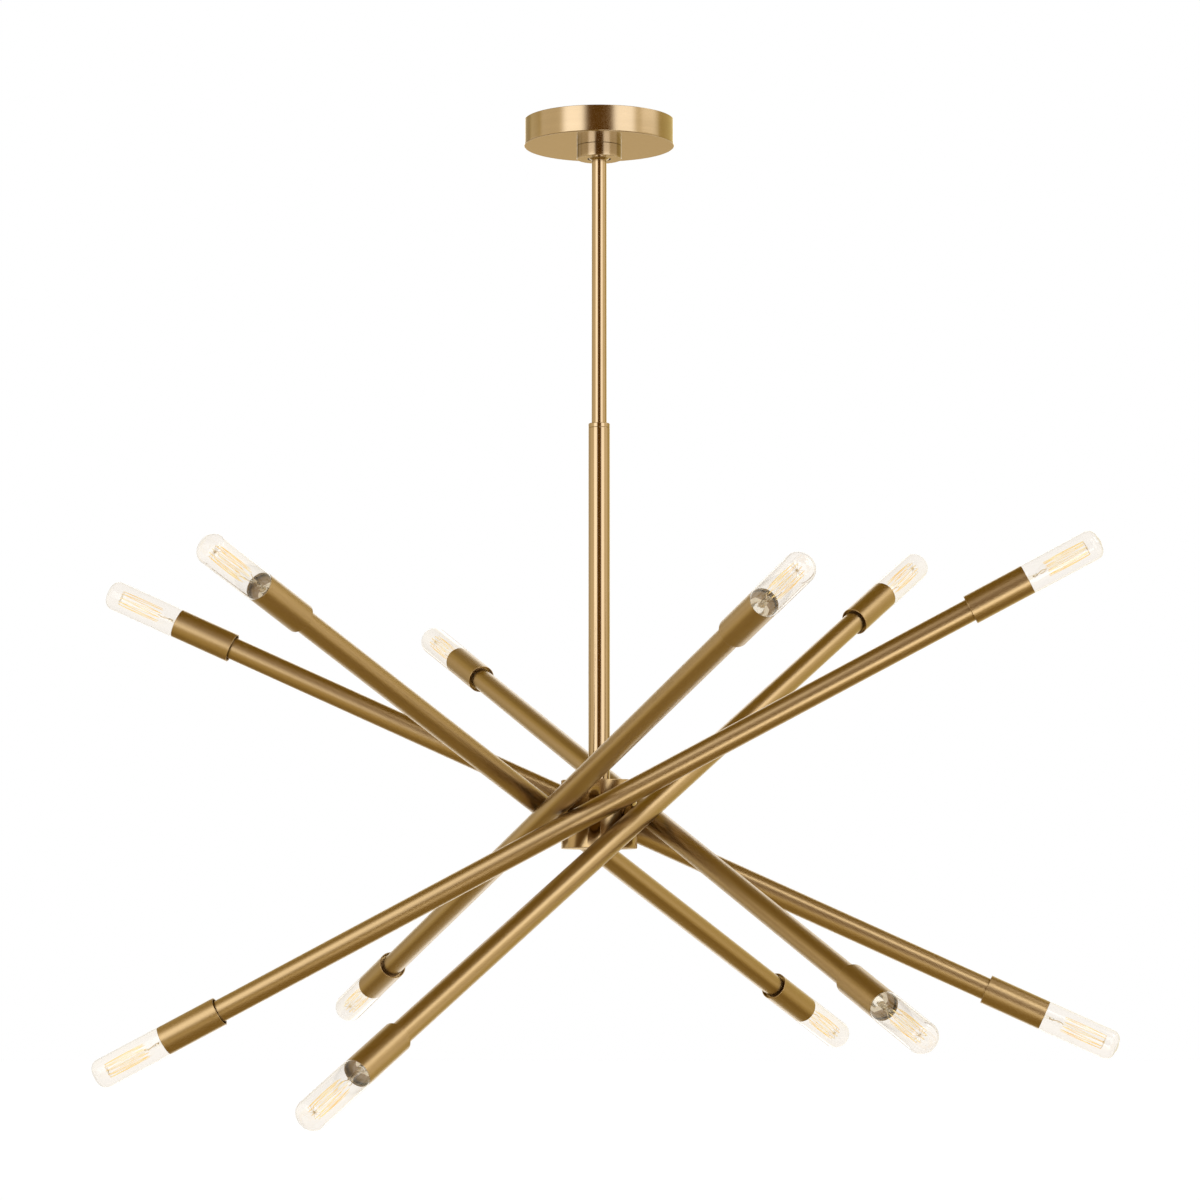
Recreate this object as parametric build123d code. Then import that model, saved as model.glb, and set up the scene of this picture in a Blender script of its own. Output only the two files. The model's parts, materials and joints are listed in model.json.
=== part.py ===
from build123d import *
import math
import os

# Sputnik chandelier, millimetres, +Z up. The origin is on the ceiling, on the canopy's axis, and the
# front faces -Y. Six straight arms with a lamp at each end turn on radial pivots round a drum hub. The
# hub hangs on a two-part stem, and a ball in the canopy lets the stem hang straight under a slope.

# --- fits ---
slip = 0.05  # play of threads, spigots and pressed sleeves
running = 0.1  # radial play of turning fits
seat_gap = 0.3  # least gap between pieces that move past each other

# --- mounting bar and canopy ---
bar_width = 20.0
bar_thickness = 2.5
bar_end = 2.55  # metal beyond each slot
box_screw_spacing = 88.9
box_slot_length = 18.0
box_slot_width = 5.0
bar_length = box_screw_spacing + box_slot_length + 2 * bar_end
canopy_radius = 63.5
canopy_wall = 1.2
canopy_edge = 0.6

# --- stem ---
rod_radius = 6.35
rod_wall = 1.2
rod_in_coupler = 20.0
rod_showing = 225.1  # collar to tube cap
coupler_wall = 1.35
coupler_length = 24.0
tube_wall = 1.2
tube_length = 296.5
tube_cap_height = 3.7
stem_plug_length = 15.0
nipple_radius = 5.0
wire_radius = 3.5

# --- hang-straight swivel ---
ball_radius = 12.0
ball_flat = 6.0  # the ball's flat top, above its centre
ball_mouth = 1.75  # the ball's section in the collar's face, beyond the rod
collar_mouth = 1.8  # the collar's opening, beyond that section
collar_drop = 11.0  # how far the collar stands below the canopy
collar_wall = 2.95
collar_lip = 1.2
collar_edge = 0.5
seat_wall = 2.1
seat_height = 4.5
seat_top_drop = 1.5  # the seat ends this far below the ball's centre
barrel_wall = 1.9
ball_headroom = 1.1
cap_thickness = 3.0
thread_gap = 2.5  # bare thread between locknut and swivel cap
locknut_radius = 8.5
locknut_height = 3.0

# --- hub ---
hub_radius = 31.75
hub_height = 57.15
hub_wall = 2.0
hub_top = 2.5
hub_edge = 0.4
cover_thickness = 2.5
window_width = 5.0
window_height = 16.0
screw_head_radius = 5.5
screw_head_height = 1.8
screw_length = 12.0

# --- arms ---
arm_radius = 9.525
arm_wall = 1.0
arm_reach = 351.9  # pivot to the back rim of each cup
arm_bearings = [-7.5, 51.0, 117.5, 174.5, 232.5, 296.0]  # round the hub, from the front, degrees
arm_tilts = [27.7, 30.6, 22.6, 24.4, 24.3, 21.0]  # above level, degrees

# --- arm pivots; the radius of a hexagon or octagon is out to its corners ---
pivot_radius = 4.85
pivot_shoulder = 6.0  # hub wall to arm tube, where the crossing arms leave it so
shoulder_radius = 7.0
pivot_nut_radius = 8.0
pivot_nut_height = 3.0
pivot_bore = 2.8
keeper_radius = 5.5  # the hexagon that keeps the arm on its pivot
keeper_height = 1.8
block_length = 22.0
block_wall = 3.2

# --- lamp cups and holders ---
cup_radius = 12.45
cup_wall = 1.0
cup_length = 52.9
cup_recess = 3.5
web_thickness = 1.5
holder_gap = 1.25
holder_drop = 11.9  # cup mouth to the holder's end
holder_depth = 19.0
stud_radius = 4.2
stud_length = 7.0

# --- lamps ---
bulb_radius = 12.7
bulb_showing = 66.3  # cup mouth to tip
bulb_cap_radius = 6.3
bulb_neck_radius = 6.0
bulb_tip_radius = 8.5
tip_steps = 3
glass_sides = 16
glass_wall = 1.1
press_width = 5.0
press_thickness = 2.2
press_showing = 6.5
cage_radius = 6.2
cage_from_mouth = 17.0
cage_length = 37.0
cage_corners = 12
wire_size = 0.4
lead_spread = 1.6

# --- the swivel, from the bar down: the canopy is as deep as what it hides ---
ball_mouth_radius = rod_radius + ball_mouth
ball_above_face = math.sqrt(ball_radius**2 - ball_mouth_radius**2)
barrel_bore = ball_radius + seat_wall
barrel_radius = barrel_bore + barrel_wall
collar_radius = barrel_radius + slip + collar_wall
cap_top = -(bar_thickness + locknut_height + thread_gap)
ball_z = cap_top - cap_thickness - ball_headroom - ball_radius
collar_face = ball_z - ball_above_face
canopy_under = collar_face + collar_drop
lip_top = collar_face + collar_lip
barrel_foot = lip_top + slip
seat_foot = ball_z - seat_top_drop - seat_height
ledge_top = seat_foot - running
ledge_hole = math.sqrt(ball_radius**2 - (ball_z - ledge_top) ** 2) + seat_gap

# --- the stem and the hub, from the collar down ---
tube_radius = rod_radius + slip + coupler_wall + slip + tube_wall
tube_bore = tube_radius - tube_wall
stem_cap_top = collar_face - rod_showing
tube_top = stem_cap_top - tube_cap_height
hub_face = tube_top - tube_length
hub_z = hub_face - hub_height / 2
hub_foot = hub_face - hub_height


def axis_gap(turn, tilt_a, tilt_b):
    """The gap between the axes of two arms on a ring of radius 1, set apart by an angle."""
    turn, a, b = (math.radians(angle) for angle in (turn, tilt_a, tilt_b))
    along_a = Vector(math.cos(a), 0, math.sin(a))
    along_b = Vector(math.cos(turn) * math.cos(b), math.sin(turn) * math.cos(b), math.sin(b))
    between = Vector(math.sin(turn), 1 - math.cos(turn), 0)
    square = along_a.cross(along_b)
    return abs(between.dot(square)) / square.length


def least_ring():
    """The smallest ring of pivots on which neighbouring arm tubes still pass each other."""
    gaps = []
    for i in range(len(arm_bearings)):
        j = (i + 1) % len(arm_bearings)
        gaps.append(axis_gap(arm_bearings[j] - arm_bearings[i], arm_tilts[i], arm_tilts[j]))
    return (2 * arm_radius + seat_gap) / min(gaps)


arm_ring = max(hub_radius + pivot_shoulder + arm_radius, least_ring())
block_radius = arm_radius - arm_wall - slip
block_bore = block_radius * math.cos(math.pi / 8) - block_wall

# --- one lamp end, measured from the cup's back rim towards its mouth ---
cup_bore = cup_radius - cup_wall
holder_foot = cup_recess + web_thickness
holder_top = cup_length - holder_drop
holder_radius = cup_bore - holder_gap
bulb_cap_foot = holder_top - holder_depth + slip
bulb_base = holder_top + slip
bulb_top = cup_length + bulb_showing
shoulder_slope = (cup_length - bulb_base) / (cup_bore - seat_gap - bulb_neck_radius)
bulb_side_foot = bulb_base + (bulb_radius - bulb_neck_radius) * shoulder_slope
press_foot = bulb_base + glass_wall
press_top = cup_length + press_showing
cage_foot = cup_length + cage_from_mouth
cage_top = cage_foot + cage_length


def disc(radius, height, z=0.0):
    """A cylinder standing on z."""
    return Pos(0, 0, z + height / 2) * Cylinder(radius, height)


def ring(outer, inner, height, z=0.0):
    """A plain tube standing on z."""
    return disc(outer, height, z) - disc(inner, height, z)


def prism(radius, sides, height, z=0.0):
    """A right prism whose corners lie on the radius, standing on z."""
    return Pos(0, 0, z) * extrude(RegularPolygon(radius, sides), height)


def turned(outline):
    """A solid turned about Z from a closed outline of (radius, height)."""
    return revolve(Plane.XZ * make_face(outline), Axis.Z)


# --- fixed to the ceiling ---
def mounting_bar():
    bar = Pos(0, 0, -bar_thickness / 2) * Box(bar_length, bar_width, bar_thickness)
    bar -= disc(nipple_radius + slip, bar_thickness, -bar_thickness)
    slot = extrude(SlotOverall(box_slot_length, box_slot_width), bar_thickness)
    for side in (-1, 1):
        bar -= Pos(side * box_screw_spacing / 2, 0, -bar_thickness) * slot
    return bar


def canopy():
    shell = disc(canopy_radius, -canopy_under, canopy_under)
    shell = chamfer(shell.edges().sort_by(Axis.Z)[0], canopy_edge)
    shell -= disc(canopy_radius - canopy_wall, -canopy_under - canopy_wall, canopy_under + canopy_wall)
    return shell - disc(barrel_radius + seat_gap, canopy_wall, canopy_under)


def locknut(top):
    """A hexagon nut on the nipple thread, its upper face at top."""
    nut = prism(locknut_radius, 6, locknut_height, top - locknut_height)
    return nut - disc(nipple_radius + slip, locknut_height, top - locknut_height)


def swivel_cap():
    plate = disc(barrel_bore - slip, cap_thickness, cap_top - cap_thickness)
    nipple = disc(nipple_radius, -cap_top, cap_top)
    return plate + nipple - disc(wire_radius, cap_thickness - cap_top, cap_top - cap_thickness)


def swivel_barrel():
    outer = [(barrel_radius, cap_top), (barrel_radius, barrel_foot), (ledge_hole, barrel_foot)]
    inner = [(ledge_hole, ledge_top), (barrel_bore, ledge_top), (barrel_bore, cap_top)]
    return turned(Polyline(*outer, *inner, close=True))


def canopy_collar():
    collar = disc(collar_radius, collar_drop, collar_face)
    collar = chamfer(collar.edges().sort_by(Axis.Z)[0], collar_edge)
    collar -= disc(barrel_radius + slip, collar_drop - collar_lip, lip_top)
    return collar - disc(ball_mouth_radius + collar_mouth, collar_lip, collar_face)


# --- the seat turns in the barrel, and the ball tilts in the seat ---
def swivel_seat():
    """A bush whose coned bore touches the ball half way up."""
    touch_drop = seat_top_drop + seat_height / 2
    touch_radius = math.sqrt((ball_radius + slip) ** 2 - touch_drop**2)
    flare = seat_height / 2 * touch_drop / touch_radius
    outer, top = barrel_bore - running, seat_foot + seat_height
    cone = [(touch_radius + flare, top), (touch_radius - flare, seat_foot)]
    return turned(Polyline((outer, seat_foot), (outer, top), *cone, close=True))


def upper_rod():
    """The rod and the ball at its top, bored through for the wires."""
    bore, foot = rod_radius - rod_wall, stem_cap_top - tube_cap_height - rod_in_coupler
    ball_foot = (rod_radius, ball_z - math.sqrt(ball_radius**2 - rod_radius**2))
    flat_edge = (math.sqrt(ball_radius**2 - ball_flat**2), ball_z + ball_flat)
    outline = Polyline(flat_edge, (bore, ball_z + ball_flat), (bore, foot), (rod_radius, foot), ball_foot)
    return turned(outline + ThreePointArc(ball_foot, (ball_radius, ball_z), flat_edge))


def tube_cap():
    """The lower tube's cap, with the spigot that joins the rod to the tube."""
    bore, spigot, foot = rod_radius + slip, tube_bore - slip, tube_top - coupler_length
    outer = [(bore, stem_cap_top), (tube_radius, stem_cap_top), (tube_radius, tube_top)]
    return turned(Polyline(*outer, (spigot, tube_top), (spigot, foot), (bore, foot), close=True))


def lower_tube():
    return ring(tube_radius, tube_bore, tube_length, hub_face)


# --- hub ---
def bearing_place(bearing):
    """A frame on the hub's axis at pivot height, Z pointing out along one pivot, X level."""
    a = math.radians(bearing)
    along = (math.cos(a), math.sin(a), 0)
    outward = (math.sin(a), -math.cos(a), 0)
    return Plane(origin=(0, 0, hub_z), x_dir=along, z_dir=outward).location


def hub_body():
    drum = disc(hub_radius, hub_height, hub_foot)
    drum = chamfer(drum.edges().filter_by(GeomType.CIRCLE), hub_edge)
    drum -= disc(hub_radius - hub_wall, hub_height - hub_top, hub_foot)
    drum -= disc(nipple_radius + slip, hub_top, hub_face - hub_top)
    for bearing in arm_bearings:
        drum -= bearing_place(bearing) * prism(pivot_radius + slip, 6, hub_radius)
    return drum


def screw_form(grow, top):
    """The flush cover screw up to a height, its head widening down to the cover's face."""
    head = screw_head_radius + grow
    shank = wire_radius - 2 * slip + grow
    neck = hub_foot + screw_head_height
    points = [(0, hub_foot), (head, hub_foot), (shank, neck), (shank, top), (0, top)]
    return turned(Polyline(*points, close=True))


def hub_cover():
    cover = disc(hub_radius - hub_wall - slip, cover_thickness, hub_foot)
    return cover - screw_form(slip, hub_foot + cover_thickness)


def hub_cover_screw():
    return screw_form(0, hub_foot + screw_length)


def hub_nipple():
    foot = hub_foot + cover_thickness
    plug = disc(tube_bore - slip, stem_plug_length, hub_face)
    pipe = plug + disc(nipple_radius, hub_face - foot, foot)
    pipe -= disc(wire_radius, hub_face - foot + stem_plug_length, foot)
    return pipe - Pos(0, 0, hub_z) * Box(window_width, 2 * hub_radius, window_height)


def arm_pivot():
    """One hollow pivot, standing out along Z from the hub's axis, with the nut that holds it in the hub."""
    nut_top = math.sqrt((hub_radius - hub_wall) ** 2 - pivot_nut_radius**2) - slip
    nut_foot = nut_top - pivot_nut_height
    shoulder_foot = hub_radius + slip
    shoulder_top = arm_ring - arm_radius - seat_gap
    keeper_foot = arm_ring - block_bore + seat_gap
    tip = keeper_foot + keeper_height
    pivot = prism(pivot_nut_radius, 6, pivot_nut_height, nut_foot)
    pivot += prism(pivot_radius, 6, shoulder_foot - nut_foot, nut_foot)
    pivot += prism(shoulder_radius, 6, shoulder_top - shoulder_foot, shoulder_foot)
    pivot += disc(pivot_radius, tip - shoulder_top, shoulder_top)
    pivot += prism(keeper_radius, 6, keeper_height, keeper_foot)
    return pivot - prism(pivot_bore, 6, tip - nut_foot, nut_foot)


# --- arms: each is made along X in its own frame, with Z pointing out from the hub ---
def arm_place(bearing, tilt):
    """The frame of one arm, turned up by its tilt about the radial pivot."""
    return bearing_place(bearing) * Pos(0, 0, arm_ring) * Rot(0, 0, tilt)


def along_arm(shape):
    """Lays a shape that stands on Z along +X."""
    return Rot(0, 90, 0) * shape


def both_ends(shape):
    """A shape that stands on the cup's back rim, placed at each end of the arm."""
    end = Pos(arm_reach, 0, 0) * along_arm(shape)
    return [end, Rot(0, 0, 180) * end]


def arm_tube():
    """The tube, with a six-sided opening that the pivot's shoulder hides."""
    half = arm_reach + cup_recess
    tube = along_arm(ring(arm_radius, arm_radius - arm_wall, 2 * half, -half))
    return tube - prism(keeper_radius + seat_gap, 6, arm_radius, -arm_radius)


def pivot_block():
    """The eight-sided block in the tube that turns on the pivot, open lengthwise for wires and keeper."""
    block = along_arm(Rot(0, 0, 180 / 8) * prism(block_radius, 8, block_length, -block_length / 2))
    block -= Box(block_length, 2 * (keeper_radius + seat_gap), 2 * block_bore)
    return block - disc(pivot_radius + running, arm_radius, -arm_radius)


# --- one lamp end, standing on the cup's back rim with its mouth up ---
def cup():
    wall = ring(cup_radius, cup_bore, cup_length)
    web = disc(cup_bore + cup_wall / 2, web_thickness, cup_recess)
    return wall + web - prism(stud_radius + slip, 6, web_thickness, cup_recess)


def lamp_holder():
    body = prism(holder_radius, 8, holder_top - holder_foot, holder_foot)
    stud = prism(stud_radius, 6, stud_length, holder_foot - stud_length)
    return body + stud - prism(bulb_cap_radius + running, 8, holder_depth, holder_top - holder_depth)


def bulb_cap():
    return prism(bulb_cap_radius, 8, bulb_base - bulb_cap_foot, bulb_cap_foot)


def envelope(outline, sides):
    """A many-sided solid through a list of (radius, height), with few faces because it repeats."""
    return loft([Pos(0, 0, height) * RegularPolygon(radius, sides) for radius, height in outline], ruled=True)


def bulb_glass():
    """The lamp's envelope: coned shoulder, straight side and a tip rounded in steps, round a clear space."""
    crown, bend_foot = bulb_radius - bulb_tip_radius, bulb_top - bulb_tip_radius
    outline = [(bulb_neck_radius, bulb_base), (bulb_radius, bulb_side_foot)]
    for step in range(tip_steps + 1):
        turn = math.pi / 2 / tip_steps * step
        radius = crown + bulb_tip_radius * math.cos(turn)
        outline.append((radius, bend_foot + bulb_tip_radius * math.sin(turn)))
    neck_inside, side_inside = bulb_neck_radius - glass_wall, bulb_radius - glass_wall
    space = [(neck_inside, press_foot), (side_inside, bulb_side_foot + glass_wall)]
    space += [(side_inside, bend_foot), (crown, bulb_top - glass_wall)]
    return envelope(outline, glass_sides) - envelope(space, glass_sides)


def wire(start, end):
    """A straight square wire between two points."""
    line = Line(start, end)
    return extrude(Plane(line @ 0, z_dir=line % 0) * Rectangle(wire_size, wire_size), line.length)


def lamp_mount():
    """The glass press and the two leads that hold the filament cage above it."""
    press_height = press_top - press_foot
    press = Pos(0, 0, press_foot + press_height / 2) * Box(press_width, press_thickness, press_height)
    corners = []
    for corner in range(cage_corners):
        angle = 2 * math.pi / cage_corners * corner
        height = cage_top if corner % 2 else cage_foot
        corners.append(Vector(cage_radius * math.cos(angle), cage_radius * math.sin(angle), height))
    path = Polyline(*corners, close=True)
    section = Plane(path @ 0, z_dir=path % 0) * Rectangle(wire_size, wire_size)
    mount = press + sweep(section, path, transition=Transition.RIGHT)
    mount += wire(Vector(lead_spread, 0, press_top - wire_size), corners[0])
    return mount + wire(Vector(-lead_spread, 0, press_top - wire_size), corners[cage_corners // 2])


def save(name, shapes):
    """Writes one node, whose shapes are separate solids."""
    solids = [solid for shape in shapes for solid in shape.solids()]
    group = solids[0] if len(solids) == 1 else Compound(children=solids)
    export_step(group, "parts/" + name + ".step")


def main():
    os.makedirs("parts", exist_ok=True)
    single = {
        "mounting_bar": mounting_bar(),
        "canopy": canopy(),
        "canopy_collar": canopy_collar(),
        "swivel_locknut": locknut(-bar_thickness),
        "swivel_cap": swivel_cap(),
        "swivel_barrel": swivel_barrel(),
        "swivel_seat": swivel_seat(),
        "upper_rod": upper_rod(),
        "tube_cap": tube_cap(),
        "lower_tube": lower_tube(),
        "hub_body": hub_body(),
        "hub_nipple": hub_nipple(),
        "hub_locknut": locknut(hub_face - hub_top),
        "hub_cover": hub_cover(),
        "hub_cover_screw": hub_cover_screw(),
    }
    for name, shape in single.items():
        save(name, [shape])
    pivot = arm_pivot()
    save("arm_pivots", [bearing_place(bearing) * pivot for bearing in arm_bearings])
    arm = {
        "tube": [arm_tube()],
        "pivot_block": [pivot_block()],
        "cups": both_ends(cup()),
        "lamp_holders": both_ends(lamp_holder()),
        "bulb_caps": both_ends(bulb_cap()),
        "bulb_glass": both_ends(bulb_glass()),
        "lamp_mounts": both_ends(lamp_mount()),
    }
    for number, (bearing, tilt) in enumerate(zip(arm_bearings, arm_tilts), start=1):
        place = arm_place(bearing, tilt)
        for name, shapes in arm.items():
            save("arm_%d_%s" % (number, name), [place * shape for shape in shapes])
    print("canopy depth", round(-canopy_under, 2), "hub centre", round(hub_z, 2))
    print("pivot ring", round(arm_ring, 3), "least ring", round(least_ring(), 3))
    print("ball centre", round(ball_z, 3), "bulb top", round(bulb_top, 2), "side", round(bulb_side_foot, 2))


main()
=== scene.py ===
import json
import math

import bpy
import numpy as np
from mathutils import Matrix, Vector


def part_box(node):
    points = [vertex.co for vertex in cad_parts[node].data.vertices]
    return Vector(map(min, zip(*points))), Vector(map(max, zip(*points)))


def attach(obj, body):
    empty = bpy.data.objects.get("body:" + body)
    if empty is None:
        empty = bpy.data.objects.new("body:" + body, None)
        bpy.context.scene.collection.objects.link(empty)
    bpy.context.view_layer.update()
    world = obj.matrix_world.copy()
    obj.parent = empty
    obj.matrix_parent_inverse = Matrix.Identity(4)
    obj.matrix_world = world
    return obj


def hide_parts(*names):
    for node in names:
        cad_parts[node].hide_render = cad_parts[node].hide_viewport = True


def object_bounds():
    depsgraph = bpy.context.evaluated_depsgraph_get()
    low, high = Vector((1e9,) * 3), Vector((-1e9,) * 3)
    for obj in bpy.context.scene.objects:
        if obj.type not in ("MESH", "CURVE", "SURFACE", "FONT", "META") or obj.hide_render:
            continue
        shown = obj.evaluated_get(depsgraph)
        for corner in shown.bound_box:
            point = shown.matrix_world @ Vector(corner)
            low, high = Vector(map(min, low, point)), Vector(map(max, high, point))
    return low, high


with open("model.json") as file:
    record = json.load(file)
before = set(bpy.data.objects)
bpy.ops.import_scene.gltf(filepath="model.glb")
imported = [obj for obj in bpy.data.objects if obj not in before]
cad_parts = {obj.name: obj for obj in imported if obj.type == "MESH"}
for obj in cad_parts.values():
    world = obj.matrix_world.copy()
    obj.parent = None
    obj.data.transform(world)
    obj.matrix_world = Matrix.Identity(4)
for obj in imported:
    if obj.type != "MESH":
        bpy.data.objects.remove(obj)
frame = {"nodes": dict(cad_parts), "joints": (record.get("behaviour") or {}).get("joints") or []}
cadBox = [list(corner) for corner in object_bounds()]
armNumbers = range(1, 7)
# the place of everything on the canopy's axis, with its own Z up
upright = Matrix.Identity(4)
# corners of the frame within touch of each other are level, and more than step apart they aren't
touch, step = 1e-5, 1e-4
print("frame loaded:", len(frame["nodes"]), "nodes")


def nodePoints(name):
    # all corners of a CAD node, as rows of x, y, z
    mesh = frame["nodes"][name].data
    points = np.empty(len(mesh.vertices) * 3)
    mesh.vertices.foreach_get("co", points)
    return points.reshape(-1, 3)


def alongAndOut(name, place):
    # each corner's distance along a place's Z and out from it
    points = nodePoints(name)
    local = np.array(place.inverted()) @ np.c_[points, np.ones(len(points))].T
    return local[2], np.hypot(local[0], local[1])


def armPlace(number):
    # the middle of an arm: Z along the tube to its raised end, X out from the hub along the pivot
    joint = next(j for j in frame["joints"] if j["name"] == f"arm_{number}_swing")
    outward = np.array(joint["axis"], float)
    points = nodePoints(f"arm_{number}_tube")
    middle = (points.min(0) + points.max(0)) / 2
    along = np.linalg.svd(points - middle, full_matrices=False)[2][0]
    along -= outward * (along @ outward)
    along /= np.linalg.norm(along) * math.copysign(1, along[2])
    place = np.eye(4)
    place[:3, 0], place[:3, 1] = outward, np.cross(along, outward)
    place[:3, 2], place[:3, 3] = along, middle
    return Matrix(place.tolist())


def endPlaces(place):
    # the two ends of an arm, each with its Z pointing out of the cup
    return [place, place @ Matrix.Rotation(math.pi, 4, "X")]


def toWorld(place, points, direction=False):
    ones = np.zeros(len(points)) if direction else np.ones(len(points))
    return (np.c_[points, ones] @ np.array(place).T)[:, :3]


# how many steps an arc has, how much of a run it may take, and how far from it the points stand that keep
# the flats beside it flat: a share of the arc's reach or of the run, and for a sharp corner a length or a share
bendLook = {"steps": 5, "mostOfRun": 0.45, "spareOfArc": 0.5, "spareOfRun": 0.04,
            "sharpSpare": 0.00025, "sharpShare": 0.2}


def rounded(corners, closed=True):
    # a profile of (radius, along, bend) corners: each corner becomes an arc of its bend between the two
    # straight runs, points at equal angles, with one point beyond each end of the arc to keep flats flat.
    # A bend of 0 keeps a corner sharp, and a bend below 0 marks a point of a curve that is already smooth
    look = bendLook
    corners = np.array(corners, float)
    points = []
    for i, (r, u, bend) in enumerate(corners):
        here = np.array([r, u])
        last = not closed and i in (0, len(corners) - 1)
        if bend < 0 or last:
            points.append(here[None])
            continue
        before = corners[i - 1, :2] - here
        after = corners[(i + 1) % len(corners), :2] - here
        run = min(np.linalg.norm(before), np.linalg.norm(after))
        before, after = before / np.linalg.norm(before), after / np.linalg.norm(after)
        if bend == 0:
            spare = min(look["sharpSpare"], run * look["sharpShare"])
            points.append(np.stack([here + before * spare, here, here + after * spare]))
            continue
        half = math.acos(np.clip(before @ after, -1, 1)) / 2
        tangent = min(bend / math.tan(half), run * look["mostOfRun"])
        radius = tangent * math.tan(half)
        middle = here + (before + after) / np.linalg.norm(before + after) * radius / math.sin(half)
        start, end = here + before * tangent - middle, here + after * tangent - middle
        sweep = math.pi - 2 * half
        share = np.linspace(0, 1, look["steps"] + 1)[:, None]
        arc = middle + (np.sin((1 - share) * sweep) * start + np.sin(share * sweep) * end) / math.sin(sweep)
        spare = min(tangent * look["spareOfArc"], run * look["spareOfRun"])
        points += [here[None] + before * (tangent + spare), arc, here[None] + after * (tangent + spare)]
    return np.concatenate(points)


def ringQuads(low, high):
    # the faces between rows of points and the rows after them, going round
    return np.stack([low, np.roll(low, -1, 1), np.roll(high, -1, 1), high], -1)


def turnedGrid(profile, place, sides, closed=True):
    # a profile turned about a place's Z: (r cos t, r sin t, u) for t from 0 to a full turn. A profile that
    # isn't closed ends on the axis, in poles. skin holds r cos t, r sin t and the length along the profile
    radius, along = profile[:, 0], profile[:, 1]
    loop = np.vstack([profile, profile[:1]]) if closed else profile
    area = np.sum(loop[:-1, 0] * loop[1:, 1] - loop[1:, 0] * loop[:-1, 1])
    travelled = np.r_[0, np.cumsum(np.hypot(*np.diff(profile, axis=0).T))]
    turn = np.arange(sides) / sides * 2 * math.pi
    x, y = np.outer(radius, np.cos(turn)), np.outer(radius, np.sin(turn))
    local = np.stack([x, y, np.broadcast_to(along[:, None], x.shape)], -1).reshape(-1, 3)
    skin = np.stack([x, y, np.broadcast_to(travelled[:, None], x.shape)], -1).reshape(-1, 3)
    index = np.arange(x.size).reshape(-1, sides)
    quads = ringQuads(index, np.roll(index, -1, 0)) if closed else ringQuads(index[:-1], index[1:])
    faces = []
    for row, quad in enumerate(quads):
        if not closed and row == 0:
            quad = np.stack([np.full(sides, index[0, 0]), quad[:, 2], quad[:, 3]], -1)
        elif not closed and row == len(quads) - 1:
            quad = np.stack([quad[:, 0], quad[:, 1], np.full(sides, index[-1, 0])], -1)
        faces += (quad if area > 0 else quad[:, ::-1]).tolist()
    return toWorld(place, local), faces, skin


def sweptGrid(path, out, radius, sides):
    # a round wire carried along a path: path + radius (cos t side + sin t lift), where side is the given
    # outward direction made square to the path, and lift is square to both. Its ends are closed flat
    tangent = np.gradient(path, axis=0)
    tangent /= np.linalg.norm(tangent, axis=1)[:, None]
    side = out - tangent * np.sum(out * tangent, 1)[:, None]
    side /= np.linalg.norm(side, axis=1)[:, None]
    lift = np.cross(tangent, side)
    turn = np.arange(sides) / sides * 2 * math.pi
    ring = np.cos(turn)[None, :, None] * side[:, None] + np.sin(turn)[None, :, None] * lift[:, None]
    points = (path[:, None] + radius * ring).reshape(-1, 3)
    index = np.arange(len(path) * sides).reshape(-1, sides)
    caps = [index[0][::-1].tolist(), index[-1].tolist()]
    return points, ringQuads(index[:-1], index[1:]).reshape(-1, 4).tolist() + caps


def joined(grids):
    # several (points, faces, skin) grids as one. Points stand in for a skin that isn't given
    points, faces, skins, start = [], [], [], 0
    for grid in grids:
        points.append(grid[0])
        faces += [[i + start for i in face] for face in grid[1]]
        skins.append(grid[2] if len(grid) > 2 else grid[0])
        start += len(grid[0])
    return np.concatenate(points), faces, np.concatenate(skins)


def meshPiece(name, points, faces, skin=None):
    mesh = bpy.data.meshes.new(name)
    mesh.from_pydata(points.tolist(), [], faces)
    mesh.polygons.foreach_set("use_smooth", np.ones(len(mesh.polygons), bool))
    if skin is not None:
        mesh.attributes.new("skin", "FLOAT_VECTOR", "POINT").data.foreach_set("vector", skin.ravel())
    mesh.update()
    piece = bpy.data.objects.new(name, mesh)
    bpy.context.scene.collection.objects.link(piece)
    return piece


def finishPiece(piece, body, material, nodes):
    piece.data.materials.append(material)
    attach(piece, body)
    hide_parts(*nodes)


def plugGrid(radius, start, end, place, sides=48):
    # a closed round plug along a place's Z, to cut a hole with
    corners = np.array([(0, start), (radius, start), (radius, end), (0, end)])
    return turnedGrid(corners, place, sides, closed=False)


def cutAway(piece, cutters):
    # takes closed shapes out of a piece, for good
    cutter = meshPiece("cutter", *joined(cutters)[:2])
    cutting = piece.modifiers.new("cut", "BOOLEAN")
    cutting.operation, cutting.solver, cutting.object = "DIFFERENCE", "EXACT", cutter
    bpy.context.view_layer.update()
    made = bpy.data.meshes.new_from_object(piece.evaluated_get(bpy.context.evaluated_depsgraph_get()))
    piece.modifiers.clear()
    piece.data = made
    bpy.data.objects.remove(cutter)


def nodeTree(name):
    material = bpy.data.materials.new(name)
    material.use_nodes = True
    tree = material.node_tree
    return material, tree, tree.nodes["Principled BSDF"]


def addNoise(tree, source, scale, detail):
    noise = tree.nodes.new("ShaderNodeTexNoise")
    noise.inputs["Scale"].default_value = scale
    noise.inputs["Detail"].default_value = detail
    tree.links.new(source, noise.inputs["Vector"])
    return noise.outputs["Fac"]


def addTone(tree, amount, first, second, limits=(0.0, 1.0)):
    # a colour that goes from the first to the second as the amount goes from limit to limit
    tone = tree.nodes.new("ShaderNodeValToRGB")
    for element, position, colour in zip(tone.color_ramp.elements, limits, (first, second)):
        element.position, element.color = position, (*colour, 1)
    tree.links.new(amount, tone.inputs["Fac"])
    return tone.outputs["Color"]


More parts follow.
